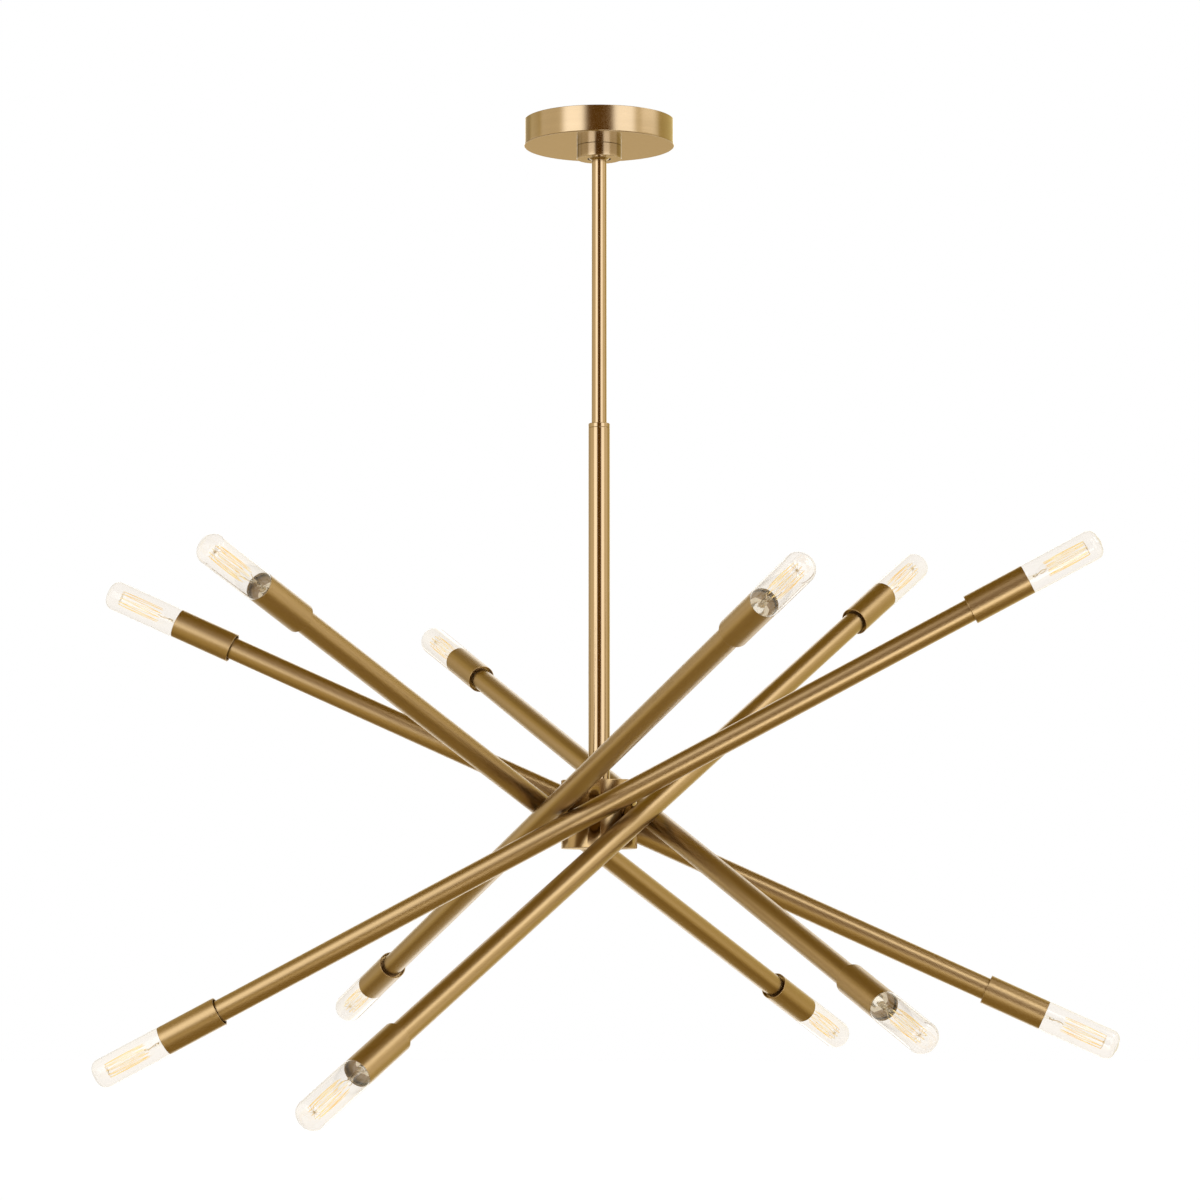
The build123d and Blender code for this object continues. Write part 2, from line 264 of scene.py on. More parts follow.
def addGloss(tree, shader, amount, rough, limits=(0.0, 1.0)):
    # roughness that goes from the first to the second as the amount goes from limit to limit
    gloss = tree.nodes.new("ShaderNodeMapRange")
    gloss.inputs["From Min"].default_value, gloss.inputs["From Max"].default_value = limits
    gloss.inputs["To Min"].default_value, gloss.inputs["To Max"].default_value = rough
    tree.links.new(amount, gloss.inputs["Value"])
    tree.links.new(gloss.outputs["Result"], shader.inputs["Roughness"])


def addRelief(tree, shader, height, strength, distance):
    relief = tree.nodes.new("ShaderNodeBump")
    relief.inputs["Strength"].default_value = strength
    relief.inputs["Distance"].default_value = distance
    tree.links.new(height, relief.inputs["Height"])
    tree.links.new(relief.outputs["Normal"], shader.inputs["Normal"])


# the noise of the brush marks, how much of the mix of marks and clouds each is, where the mix starts and
# ends, and the colour of the painted glow that stands in for the lamps' light on metal
markLook = {"scratchScale": 1.0, "scratchDetail": 1.5, "cloudScale": 22.0, "cloudDetail": 2.0,
            "half": 0.5, "limits": (0.3, 0.7), "distance": 0.0001, "paintedGlowColour": (1.0, 0.80, 0.50)}


def makeBrushMarks():
    # fine scratches that run long in one direction, and slow clouds of handling under the lacquer
    group = bpy.data.node_groups.new("brushMarks", "ShaderNodeTree")
    for name in ("Place", "Stretch"):
        group.interface.new_socket(name, in_out="INPUT", socket_type="NodeSocketVector")
    for name in ("Scratches", "Clouds"):
        group.interface.new_socket(name, in_out="OUTPUT", socket_type="NodeSocketFloat")
    given, made = group.nodes.new("NodeGroupInput"), group.nodes.new("NodeGroupOutput")
    stretched = group.nodes.new("ShaderNodeVectorMath")
    stretched.operation = "MULTIPLY"
    group.links.new(given.outputs["Place"], stretched.inputs[0])
    group.links.new(given.outputs["Stretch"], stretched.inputs[1])
    look = markLook
    scratches = addNoise(group, stretched.outputs[0], look["scratchScale"], look["scratchDetail"])
    clouds = addNoise(group, given.outputs["Place"], look["cloudScale"], look["cloudDetail"])
    group.links.new(scratches, made.inputs["Scratches"])
    group.links.new(clouds, made.inputs["Clouds"])
    return group


brushMarks = makeBrushMarks()


def satinMetal(name, look, fromSkin=True):
    # metal brushed in one direction under clear lacquer: scratches change tone, gloss and relief a little.
    # Its place is the skin of a made surface, or Object coordinates. The lamp glow is painted: an emission
    # that stands in for the light that a piece gets from the lamp it carries
    material, tree, shader = nodeTree(name)
    nodes, links = tree.nodes, tree.links
    if fromSkin:
        place = nodes.new("ShaderNodeAttribute")
        place.attribute_name = "skin"
        source = place.outputs["Vector"]
    else:
        source = nodes.new("ShaderNodeTexCoord").outputs["Object"]
    marks = nodes.new("ShaderNodeGroup")
    marks.node_tree = brushMarks
    marks.inputs["Stretch"].default_value = look["stretch"]
    links.new(source, marks.inputs["Place"])
    clouded = nodes.new("ShaderNodeMath")
    clouded.operation = "MULTIPLY"
    clouded.inputs[1].default_value = markLook["half"]
    links.new(marks.outputs["Clouds"], clouded.inputs[0])
    blend = nodes.new("ShaderNodeMath")
    blend.operation = "MULTIPLY_ADD"
    blend.inputs[1].default_value = markLook["half"]
    links.new(marks.outputs["Scratches"], blend.inputs[0])
    links.new(clouded.outputs[0], blend.inputs[2])
    tone = addTone(tree, blend.outputs[0], look["dark"], look["light"], markLook["limits"])
    links.new(tone, shader.inputs["Base Color"])
    addGloss(tree, shader, blend.outputs[0], look["rough"], markLook["limits"])
    addRelief(tree, shader, marks.outputs["Scratches"], look["relief"], markLook["distance"])
    shader.inputs["Metallic"].default_value = 1.0
    shader.inputs["Coat Weight"].default_value = look["coat"]
    shader.inputs["Coat IOR"].default_value = look["coatIor"]
    shader.inputs["Coat Roughness"].default_value = look["coatRough"]
    # painted glow: emission that stands in for the lamp's light falling on the piece
    shader.inputs["Emission Color"].default_value = (*markLook["paintedGlowColour"], 1)
    shader.inputs["Emission Strength"].default_value = look["paintedLampGlow"]
    return material


def mouldedPlastic(name, look):
    # plastic with a fine sparkled mould texture and slow changes of gloss. Its lamp glow is painted: an
    # emission that stands in for the light that a piece gets from the lamp it holds
    material, tree, shader = nodeTree(name)
    place = tree.nodes.new("ShaderNodeTexCoord").outputs["Object"]
    grain = addNoise(tree, place, look["grain"], look["detail"])
    tree.links.new(addTone(tree, grain, look["dark"], look["light"]), shader.inputs["Base Color"])
    addGloss(tree, shader, grain, look["rough"])
    addRelief(tree, shader, grain, look["relief"], look["distance"])
    # painted glow: emission that stands in for the lamp's light falling on the piece
    shader.inputs["Emission Color"].default_value = (*look["paintedGlowColour"], 1)
    shader.inputs["Emission Strength"].default_value = look["paintedLampGlow"]
    return material


def clearGlass(name, look):
    # blown glass: clear, with slow waves in its surface and its tint
    material, tree, shader = nodeTree(name)
    place = tree.nodes.new("ShaderNodeTexCoord").outputs["Object"]
    waves = addNoise(tree, place, look["waves"], look["detail"])
    tree.links.new(addTone(tree, waves, look["dark"], look["light"]), shader.inputs["Base Color"])
    addRelief(tree, shader, waves, look["relief"], look["distance"])
    shader.inputs["Roughness"].default_value = 0.0
    shader.inputs["Transmission Weight"].default_value = 1.0
    shader.inputs["IOR"].default_value = look["ior"]
    return material


def glowingWire(name, look):
    # a filament whose glow is uneven along the wire
    material, tree, shader = nodeTree(name)
    place = tree.nodes.new("ShaderNodeTexCoord").outputs["Object"]
    patches = addNoise(tree, place, look["patches"], look["detail"])
    glow = addTone(tree, patches, look["dim"], look["bright"], look["limits"])
    tree.links.new(glow, shader.inputs["Emission Color"])
    shader.inputs["Base Color"].default_value = (*look["metal"], 1)
    shader.inputs["Emission Strength"].default_value = look["strength"]
    shader.inputs["Roughness"].default_value = look["rough"]
    return material


lacquered = {"coat": 1.0, "coatIor": 1.72, "paintedLampGlow": 0.0}
bare = {"coat": 0.0, "coatIor": 1.5, "coatRough": 0.2, "paintedLampGlow": 0.0}
armTone = {"dark": (0.269, 0.171, 0.054), "light": (0.302, 0.194, 0.066),
           "rough": (0.33, 0.37), "coatRough": 0.34}
metalLooks = {
    "armBrass": {**lacquered, **armTone, "stretch": (700, 700, 9), "relief": 0.0015},
    "cupBrass": {**lacquered, **armTone, "stretch": (30, 30, 1100), "relief": 0.004},
    "stemBrass": {**lacquered, "dark": (0.277, 0.184, 0.083), "light": (0.306, 0.209, 0.099),
                  "rough": (0.11, 0.14), "coatRough": 0.12, "stretch": (700, 700, 9), "relief": 0.0010},
    "hubBrass": {**lacquered, "dark": (0.275, 0.175, 0.058), "light": (0.313, 0.202, 0.071), "coatIor": 1.68,
                 "rough": (0.21, 0.26), "coatRough": 0.22, "stretch": (24, 24, 1100), "relief": 0.006},
    "canopyBrass": {**lacquered, "dark": (0.252, 0.174, 0.083), "light": (0.302, 0.211, 0.107),
                    "rough": (0.15, 0.20), "coatRough": 0.13, "stretch": (14, 14, 1500), "relief": 0.022},
    "turnedBrass": {**bare, "dark": (0.26, 0.165, 0.055), "light": (0.35, 0.235, 0.09),
                    "rough": (0.22, 0.34), "stretch": (700, 700, 700), "relief": 0.04},
    "zincPlate": {**bare, "dark": (0.42, 0.43, 0.45), "light": (0.66, 0.67, 0.70),
                  "rough": (0.28, 0.45), "stretch": (260, 260, 260), "relief": 0.12},
    # the caps and lead wires get a painted glow, an emission that stands in for their lamp's light
    "capBrass": {**bare, "dark": (0.36, 0.255, 0.116), "light": (0.464, 0.348, 0.186), "paintedLampGlow": 0.28,
                 "rough": (0.24, 0.34), "stretch": (400, 400, 400), "relief": 0.05},
}
armBrass = satinMetal("armBrass", metalLooks["armBrass"])
cupBrass = satinMetal("cupBrass", metalLooks["cupBrass"])
stemBrass = satinMetal("stemBrass", metalLooks["stemBrass"])
hubBrass = satinMetal("hubBrass", metalLooks["hubBrass"])
canopyBrass = satinMetal("canopyBrass", metalLooks["canopyBrass"])
turnedBrass = satinMetal("turnedBrass", metalLooks["turnedBrass"], fromSkin=False)
zincPlate = satinMetal("zincPlate", metalLooks["zincPlate"], fromSkin=False)
capBrass = satinMetal("capBrass", metalLooks["capBrass"], fromSkin=False)

moulded = {"detail": 4.0, "relief": 0.3, "distance": 0.0001, "paintedGlowColour": (1.0, 0.88, 0.66)}
nylonLook = {**moulded, "dark": (0.66, 0.64, 0.57), "light": (0.80, 0.78, 0.72),
             "grain": 900.0, "rough": (0.35, 0.5), "paintedLampGlow": 0.0}
# the holders get a painted glow, an emission that stands in for the light of the lamp they hold
holderLook = {**moulded, "dark": (0.66, 0.58, 0.42), "light": (0.80, 0.72, 0.55),
              "grain": 1200.0, "rough": (0.3, 0.5), "paintedLampGlow": 0.55}
blown = {"detail": 1.0, "distance": 0.0005}
lampGlassLook = {**blown, "dark": (0.97, 0.945, 0.91), "light": (0.985, 0.965, 0.94),
                 "waves": 45.0, "relief": 0.02, "ior": 1.45}
stemGlassLook = {**blown, "dark": (0.93, 0.90, 0.80), "light": (0.98, 0.96, 0.90),
                 "waves": 200.0, "relief": 0.05, "ior": 1.5}
filamentLook = {"dim": (0.95, 0.56, 0.10), "bright": (1.0, 0.78, 0.28), "limits": (0.35, 0.65),
                "patches": 90.0, "detail": 2.0, "strength": 0.95, "metal": (0.10, 0.07, 0.05), "rough": 0.6}
nylon = mouldedPlastic("nylon", nylonLook)
holderPlastic = mouldedPlastic("holderPlastic", holderLook)
lampGlass = clearGlass("lampGlass", lampGlassLook)
stemGlass = clearGlass("stemGlass", stemGlassLook)
filamentGlow = glowingWire("filamentGlow", filamentLook)
print("finishes made")


def makeTurned(name, corners, sides, body, material, node):
    # a ring turned about the canopy's axis from its profile's corners, as rounded and turnedGrid say
    piece = meshPiece(name, *turnedGrid(rounded(corners), upright, sides))
    finishPiece(piece, body, material, [node])


canopyLook = {"wall": 0.0012, "edge": 0.0009, "rimEdge": 0.0003, "cornerBend": 0.0006, "sides": 192}


def makeCanopy():
    # an open pan with a hole in its floor
    low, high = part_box("canopy")
    radius, foot, wall = high.x, low.z, canopyLook["wall"]
    hole = alongAndOut("canopy", upright)[1].min()
    rim = canopyLook["rimEdge"]
    corners = [(radius, 0, rim), (radius - wall, 0, rim),
               (radius - wall, wall + foot, canopyLook["cornerBend"]), (hole, wall + foot, rim),
               (hole, foot, rim), (radius, foot, canopyLook["edge"])]
    makeTurned("canopy_shell", corners, canopyLook["sides"], "ceiling_plate", canopyBrass,
               "canopy")


collarLook = {"footEdge": 0.0006, "topEdge": 0.0003, "insideEdge": 0.0002, "mouthEdge": 0.0004, "sides": 128}


def makeCollar():
    # a ring with a lip inside its foot
    low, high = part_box("canopy_collar")
    up, out = alongAndOut("canopy_collar", upright)
    mouth = out.min()
    inside = out[up > high.z - touch].min()
    lip = up[(out < inside - step) & (up > low.z + touch)].max()
    top, inner = collarLook["topEdge"], collarLook["insideEdge"]
    corners = [(high.x, low.z, collarLook["footEdge"]), (high.x, high.z, top), (inside, high.z, inner),
               (inside, lip, inner), (mouth, lip, top), (mouth, low.z, collarLook["mouthEdge"])]
    makeTurned("collar_ring", corners, collarLook["sides"], "ceiling_plate", canopyBrass,
               "canopy_collar")


makeCanopy()
makeCollar()
print("canopy and collar made")


rodLook = {"boreEdge": 0.0002, "footEdge": 0.0003, "crownEdge": 0.0002, "ballSteps": 38, "sides": 96}


def makeRod():
    # the rod is a straight bore and wall, and its ball an arc round the swivel's centre
    up, out = alongAndOut("upper_rod", upright)
    swivel = next(j for j in frame["joints"] if j["name"] == "hang_tilt")["pos_m"][2]
    foot, top, bore = up.min(), up.max(), out.min()
    rod = out[up < foot + touch].max()
    ball = out.max()
    start, end = -math.acos(rod / ball), math.asin((top - swivel) / ball)
    turns = np.linspace(start, end, rodLook["ballSteps"] + 2)[1:-1]
    arc = np.stack([ball * np.cos(turns), swivel + ball * np.sin(turns), np.full_like(turns, -1)], 1)
    neck = swivel - math.sqrt(ball**2 - rod**2)
    crown = math.sqrt(ball**2 - (top - swivel)**2)
    corners = [(bore, top, rodLook["boreEdge"]), (bore, foot, rodLook["boreEdge"]),
               (rod, foot, rodLook["footEdge"]), (rod, neck, 0), *arc.tolist(),
               (crown, top, rodLook["crownEdge"])]
    makeTurned("stem_rod", corners, rodLook["sides"], "stem_and_hub", stemBrass, "upper_rod")


tubeCapLook = {"shoulderEdge": 0.00025, "topEdge": 0.0005, "mouthEdge": 0.0003, "spigotEdge": 0.0002,
               "sides": 96}


def makeTubeCap():
    # a cap with a spigot under its shoulder, bored through
    low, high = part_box("tube_cap")
    up, out = alongAndOut("tube_cap", upright)
    bore = out.min()
    spigot = out[up < low.z + touch].max()
    shoulder = up[out > spigot + step].min()
    end = tubeCapLook["spigotEdge"]
    corners = [(high.x, shoulder, tubeCapLook["shoulderEdge"]), (high.x, high.z, tubeCapLook["topEdge"]),
               (bore, high.z, tubeCapLook["mouthEdge"]), (bore, low.z, end), (spigot, low.z, end),
               (spigot, shoulder, 0)]
    makeTurned("stem_tube_cap", corners, tubeCapLook["sides"], "stem_and_hub", stemBrass,
               "tube_cap")


lowerTubeLook = {"footEdge": 0.0003, "topEdge": 0.0004, "boreEdge": 0.0002, "sides": 96}


def makeLowerTube():
    # a straight tube
    low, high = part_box("lower_tube")
    bore = alongAndOut("lower_tube", upright)[1].min()
    corners = [(high.x, low.z, lowerTubeLook["footEdge"]), (high.x, high.z, lowerTubeLook["topEdge"]),
               (bore, high.z, lowerTubeLook["boreEdge"]), (bore, low.z, lowerTubeLook["boreEdge"])]
    makeTurned("stem_lower_tube", corners, lowerTubeLook["sides"], "stem_and_hub", stemBrass,
               "lower_tube")


makeRod()
makeTubeCap()
makeLowerTube()
print("stem made")


# inPast and outPast are how far a hole's plug goes past the wall on either side
hubLook = {"edge": 0.0006, "boreEdge": 0.0002, "ceilingBend": 0.0005, "rimEdge": 0.0003, "sides": 160,
           "pivotHole": 0.00492, "inPast": 0.004, "outPast": 0.002}


def makeHub():
    # a drum, open below and bored above, with six round holes for the pivots
    low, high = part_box("hub_body")
    up, out = alongAndOut("hub_body", upright)
    look, bore = hubLook, out.min()
    inside = out[up < low.z + touch].min()
    ceiling = up[out < bore + step].min()
    corners = [(high.x, low.z, look["edge"]), (high.x, high.z, look["edge"]), (bore, high.z, look["boreEdge"]),
               (bore, ceiling, look["boreEdge"]), (inside, ceiling, look["ceilingBend"]),
               (inside, low.z, look["rimEdge"])]
    drum = meshPiece("hub_drum", *turnedGrid(rounded(corners), upright, look["sides"]))
    middle = Matrix.Translation((0, 0, (low.z + high.z) / 2))
    holes = []
    for number in armNumbers:
        outward = armPlace(number).col[0].xyz
        place = middle @ outward.to_track_quat("Z", "Y").to_matrix().to_4x4()
        holes.append(plugGrid(look["pivotHole"], inside - look["inPast"], high.x + look["outPast"], place))
    cutAway(drum, holes)
    finishPiece(drum, "stem_and_hub", hubBrass, ["hub_body"])


coverLook = {"rimEdge": 0.0004, "edge": 0.0002, "sides": 128}


def makeHubCover():
    # a disc with a countersunk hole
    low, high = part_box("hub_cover")
    up, out = alongAndOut("hub_cover", upright)
    sink = out[up < low.z + touch].min()
    bore = out.min()
    neck = up[out < bore + step].min()
    edge = coverLook["edge"]
    corners = [(high.x, low.z, coverLook["rimEdge"]), (high.x, high.z, edge), (bore, high.z, edge),
               (bore, neck, 0), (sink, low.z, edge)]
    makeTurned("hub_cover_plate", corners, coverLook["sides"], "stem_and_hub", hubBrass,
               "hub_cover")


screwLook = {"headEdge": 0.0003, "neckBend": 0.0002, "tipEdge": 0.0003, "sides": 64,
             "slotHalf": 0.0006, "slotDeep": 0.0009, "slotPast": 0.001}


def makeCoverScrew():
    # a countersunk screw with a straight slot across its head
    low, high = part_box("hub_cover_screw")
    up, out = alongAndOut("hub_cover_screw", upright)
    look, head, shank = screwLook, out.max(), out[up > high.z - touch].max()
    neck = up[(out < shank + touch) & (out > shank / 2)].min()
    corners = [(0, low.z, 0), (head, low.z, look["headEdge"]), (shank, neck, look["neckBend"]),
               (shank, high.z, look["tipEdge"]), (0, high.z, 0)]
    profile = rounded(corners, closed=False)
    screw = meshPiece("cover_screw", *turnedGrid(profile, upright, look["sides"], closed=False))
    slot = np.array([(x, y, z) for x in (-head, head) for y in (-look["slotHalf"], look["slotHalf"])
                     for z in (low.z - look["slotPast"], low.z + look["slotDeep"])])
    slotFaces = [[0, 1, 3, 2], [4, 6, 7, 5], [0, 4, 5, 1], [2, 3, 7, 6], [0, 2, 6, 4], [1, 5, 7, 3]]
    cutAway(screw, [(slot, slotFaces)])
    finishPiece(screw, "stem_and_hub", hubBrass, ["hub_cover_screw"])


makeHub()
makeHubCover()
makeCoverScrew()
print("hub made")


# nearHole is where the tube's long faces stop, on either side of the pivot's hole
tubeLook = {"edge": 0.0003, "nearHole": 0.008, "pivotHole": 0.00495, "plugHalf": 0.004, "sides": 96}


def makeArmTube(number, place):
    # a straight tube along the arm, with a round hole in the side that faces the hub
    reach, out = alongAndOut(f"arm_{number}_tube", place)
    look, half, radius, bore = tubeLook, reach.max(), out.max(), out.min()
    edge, near = look["edge"], look["nearHole"]
    outside = [(radius, -half, edge), (radius, -near, 0), (radius, near, 0), (radius, half, edge)]
    inside = [(bore, half, edge), (bore, near, 0), (bore, -near, 0), (bore, -half, edge)]
    tube = meshPiece(f"arm_{number}_rod", *turnedGrid(rounded(outside + inside), place, look["sides"]))
    towardsHub = place @ Matrix.Translation((-radius, 0, 0)) @ Matrix.Rotation(math.pi / 2, 4, "Y")
    cutAway(tube, [plugGrid(look["pivotHole"], -look["plugHalf"], look["plugHalf"], towardsHub)])
    finishPiece(tube, f"arm_{number}", armBrass, [f"arm_{number}_tube"])


# holeSpare is how much wider the hole in the web is than the CAD's, and webStep how much nearer to the axis
# than the bore a corner of the web is
cupLook = {"mouthEdge": 0.00035, "backEdge": 0.0004, "webFrontBend": 0.0006, "webBackBend": 0.0003,
           "holeEdge": 0.0002, "holeSpare": 0.0008, "webStep": 0.001, "sides": 96}


def makeCups(number, place):
    # two cups, each a sleeve with a web across its bore and a round hole in the web
    reach, out = alongAndOut(f"arm_{number}_cups", place)
    look, reach = cupLook, abs(reach)
    back, mouth, radius = reach.min(), reach.max(), out.max()
    bore = out[reach > mouth - touch].min()
    web = np.round(reach[out < bore - look["webStep"]], 5)
    webBack, webFront, hole = web.min(), web.max(), out.min() + look["holeSpare"]
    edge, soft, small = look["mouthEdge"], look["backEdge"], look["holeEdge"]
    corners = [(radius, back, soft), (radius, mouth, edge), (bore, mouth, edge),
               (bore, webFront, look["webFrontBend"]), (hole, webFront, small), (hole, webBack, small),
               (bore, webBack, look["webBackBend"]), (bore, back, soft)]
    grids = [turnedGrid(rounded(corners), end, look["sides"]) for end in endPlaces(place)]
    finishPiece(meshPiece(f"arm_{number}_cup_pair", *joined(grids)), f"arm_{number}", cupBrass,
                [f"arm_{number}_cups"])


for number in armNumbers:
    place = armPlace(number)
    makeArmTube(number, place)
    makeCups(number, place)
print("arms and cups made")


# lengths along a lamp are measured out from the cup's mouth, or from the glass's base where they say so
glassLook = {"wall": 0.0006, "side": 0.0127, "neck": 0.0060, "neckStep": 0.0003, "shoulderFromBase": 0.0020,
             "shoulderTop": 0.0042, "tipBend": 0.0076, "crown": 0.0010,
             "arcPoints": 18, "sidePoints": 4, "crownPoints": 6, "sides": 80}


def envelope(base, mouth, tip, inset):
    # the lamp's glass as one wall: straight neck, shoulder arc, straight side, then a tip whose corner is an
    # arc and whose crown rises by a square. inset draws the whole line in for the inner wall
    look = glassLook
    neck, side, bend, crownFoot = look["neck"], look["side"], look["tipBend"], tip - look["crown"]
    shoulderStart, sideStart = base + look["shoulderFromBase"], mouth + look["shoulderTop"]
    turn = np.linspace(0, math.pi / 2, look["arcPoints"])
    shoulder = np.stack([neck + (side - neck) * np.sin(turn),
                         sideStart - (sideStart - shoulderStart) * np.cos(turn)], 1)
    corner = np.stack([side - bend + bend * np.cos(turn), crownFoot - bend + bend * np.sin(turn)], 1)
    share = np.linspace(0, 1, look["crownPoints"] + 1)[1:]
    crown = np.stack([(side - bend) * (1 - share), tip - look["crown"] * (1 - share)**2], 1)
    straight = np.linspace(sideStart, crownFoot - bend, look["sidePoints"] + 2)[1:-1]
    straight = np.stack([np.full_like(straight, side), straight], 1)
    line = np.concatenate([[[neck, base]], shoulder, straight, corner, crown])
    if inset:
        tangent = np.gradient(line, axis=0)
        tangent /= np.linalg.norm(tangent, axis=1)[:, None]
        line = line - inset * np.stack([tangent[:, 1], -tangent[:, 0]], 1)
        line[0] = [neck - inset, base + inset]
        line[-1, 0] = 0
    return line


def makeGlass(number, place, mouth, base):
    # two closed lamps, each an outer wall and an inner wall that faces in
    look = glassLook
    wall, tip = look["wall"], abs(alongAndOut(f"arm_{number}_bulb_glass", place)[0]).max()
    outer, inner = envelope(base, mouth, tip, 0), envelope(base, mouth, tip, wall)
    outer = np.concatenate([[[0, base]], [[look["neck"] - look["neckStep"], base]], outer[1:]])
    inner = np.concatenate([[[0, base + wall]], inner])
    grids = []
    for end in endPlaces(place):
        grids.append(turnedGrid(outer, end, look["sides"], closed=False))
        points, faces, skin = turnedGrid(inner, end, look["sides"], closed=False)
        grids.append((points, [face[::-1] for face in faces], skin))
    finishPiece(meshPiece(f"arm_{number}_envelopes", *joined(grids)), f"arm_{number}", lampGlass,
                [f"arm_{number}_bulb_glass"])


def wireGrid(place, path, radius, sides, out=None):
    # a wire along a path, both told in a place's own directions. out is away from the axis if it isn't given
    out = path * [1, 1, 0] + [1e-5, 0, 0] if out is None else np.tile(out, (len(path), 1))
    return sweptGrid(toWorld(place, path), toWorld(place, out, True), radius, sides)


cageLook = {"foot": 0.0170, "length": 0.0370, "radius": 0.0061, "strands": 20, "strandPoints": 12,
            "steep": 2.12, "bulge": 0.06, "wire": 0.00017, "sides": 6,
            "hookWire": 0.00014, "hookLift": 0.0006, "hookPoints": 9}


def cagePath(mouth):
    # a wire that runs up and down as it goes once round: the angle grows evenly while the height is a
    # triangle wave, steepened and clipped at both ends into short level turns. Halfway up it bulges by a sine
    look = cageLook
    t = np.linspace(0, look["strands"], look["strands"] * look["strandPoints"], endpoint=False)
    wave = 2 * np.abs((t / 2) % 1 - 0.5)
    height = np.clip((wave - 0.5) * look["steep"], -1, 1) / 2 + 0.5
    angle = t / look["strands"] * 2 * math.pi
    radius = look["radius"] * (1 + look["bulge"] * np.sin(height * math.pi))
    return np.stack([radius * np.cos(angle), radius * np.sin(angle),
                     mouth + look["foot"] + look["length"] * height], 1)


def hookGrid(end, strand, top):
    # one of the wires that hold the cage's far turns: straight out from the axis, lifting by half a sine
    look = cageLook
    angle = strand / look["strands"] * 2 * math.pi
    share = np.linspace(0, 1, look["hookPoints"])
    spread = look["radius"] * share
    lift = top - look["hookLift"] + look["hookLift"] * np.sin(share * math.pi)
    path = np.stack([spread * math.cos(angle), spread * math.sin(angle), lift], 1)
    return wireGrid(end, path, look["hookWire"], look["sides"], [0, 0, 1.0])


# the glass stem, from its flared foot to its pinched top
stemLook = {"footFromBase": 0.0015, "footRadius": 0.0046, "footEdge": 0.0004, "flareFromBase": 0.008,
            "flareBend": 0.003, "radius": 0.0026, "top": 0.0085, "topEdge": 0.001, "pinchFoot": 0.006,
            "pinchLength": 0.008, "wider": 0.35, "flatter": 0.45, "sides": 40}


def stemGrid(end, mouth, base):
    # a flared tube whose top is pinched: wider in x and flatter in y by a share that grows evenly and stops
    look = stemLook
    foot, top, radius = base + look["footFromBase"], mouth + look["top"], look["radius"]
    corners = [(0, foot, 0), (look["footRadius"], foot, look["footEdge"]),
               (radius, base + look["flareFromBase"], look["flareBend"]), (radius, top, look["topEdge"]),
               (0, top, 0)]
    points, faces, skin = turnedGrid(rounded(corners, closed=False), upright, look["sides"], closed=False)
    pinch = np.clip((points[:, 2] - mouth + look["pinchFoot"]) / look["pinchLength"], 0, 1)
    points[:, 0] *= 1 + look["wider"] * pinch
    points[:, 1] *= 1 - look["flatter"] * pinch
    return toWorld(end, points), faces, skin


# the glass post on the stem, and the button at its end
postLook = {"start": 0.0002, "footEdge": 0.0002, "radius": 0.00055, "neckBend": 0.0003,
            "buttonRadius": 0.0013, "buttonPast": 0.0006, "buttonFoot": 0.0016, "buttonSide": 0.0012,
            "buttonBend": 0.0004, "buttonEdge": 0.0005, "sides": 24}


def postGrid(end, mouth, top):
    # a thin post up the axis that widens to a round button just past the cage
    look = postLook
    foot, tip = mouth + stemLook["top"] + look["start"], top + look["buttonPast"]
    radius, button = look["radius"], look["buttonRadius"]
    corners = [(0, foot, 0), (radius, foot, look["footEdge"]),
               (radius, tip - look["buttonFoot"], look["neckBend"]),
               (button, tip - look["buttonSide"], look["buttonBend"]),
               (button, tip, look["buttonEdge"]), (0, tip, 0)]
    return turnedGrid(rounded(corners, closed=False), end, look["sides"], closed=False)


leadLook = {"wire": 0.00032, "start": 0.0014, "sunk": 0.004, "past": 0.0042, "waver": 0.0006, "waves": 7,
            "points": 16, "sides": 8}


def leadGrid(end, side, mouth, foot):
    # a lead that rises evenly from inside the stem to just past the cage's foot, swings out from beside the
    # axis to the cage's radius as a smooth step, and wavers in y by a sine
    look, stemTop = leadLook, mouth + stemLook["top"]
    share = np.linspace(0, 1, look["points"])
    swing = 3 * share**2 - 2 * share**3
    x = side * (look["start"] + (cageLook["radius"] - look["start"]) * swing)
    y = side * look["waver"] * np.sin(share * look["waves"])
    z = stemTop - look["sunk"] + (foot - stemTop + look["past"]) * share
    return wireGrid(end, np.stack([x, y, z], 1), look["wire"], look["sides"], [0, 1.0, 0])


def makeLampInsides(number, place, mouth, base):
    # each lamp's filament cage, its glass stem and post, and its hooks and leads
    cage = cagePath(mouth)
    foot = mouth + cageLook["foot"]
    top = foot + cageLook["length"]
    filaments, stems, wires = [], [], []
    for end in endPlaces(place):
        filaments.append(wireGrid(end, np.vstack([cage, cage[:1]]), cageLook["wire"], cageLook["sides"]))
        stems += [stemGrid(end, mouth, base), postGrid(end, mouth, top)]
        wires += [hookGrid(end, strand, top) for strand in range(0, cageLook["strands"], 2)]
        wires += [leadGrid(end, side, mouth, foot) for side in (-1, 1)]
    for name, grids, material in (("filaments", filaments, filamentGlow), ("glass_stems", stems, stemGlass),
                                  ("lead_wires", wires, capBrass)):
        finishPiece(meshPiece(f"arm_{number}_{name}", *joined(grids)), f"arm_{number}", material,
                    [f"arm_{number}_lamp_mounts"])


for number in armNumbers:
    place = armPlace(number)
    mouth = abs(alongAndOut(f"arm_{number}_cups", place)[0]).max()
    base = abs(alongAndOut(f"arm_{number}_bulb_glass", place)[0]).min()
    makeGlass(number, place, mouth, base)
    makeLampInsides(number, place, mouth, base)
print("lamps made")


def dress(material, *names):
    # gives a finish to CAD pieces that stay
    for name in names:
        slots = frame["nodes"][name].material_slots
        for slot in slots:
            slot.material = material
        if not slots:
            frame["nodes"][name].data.materials.append(material)


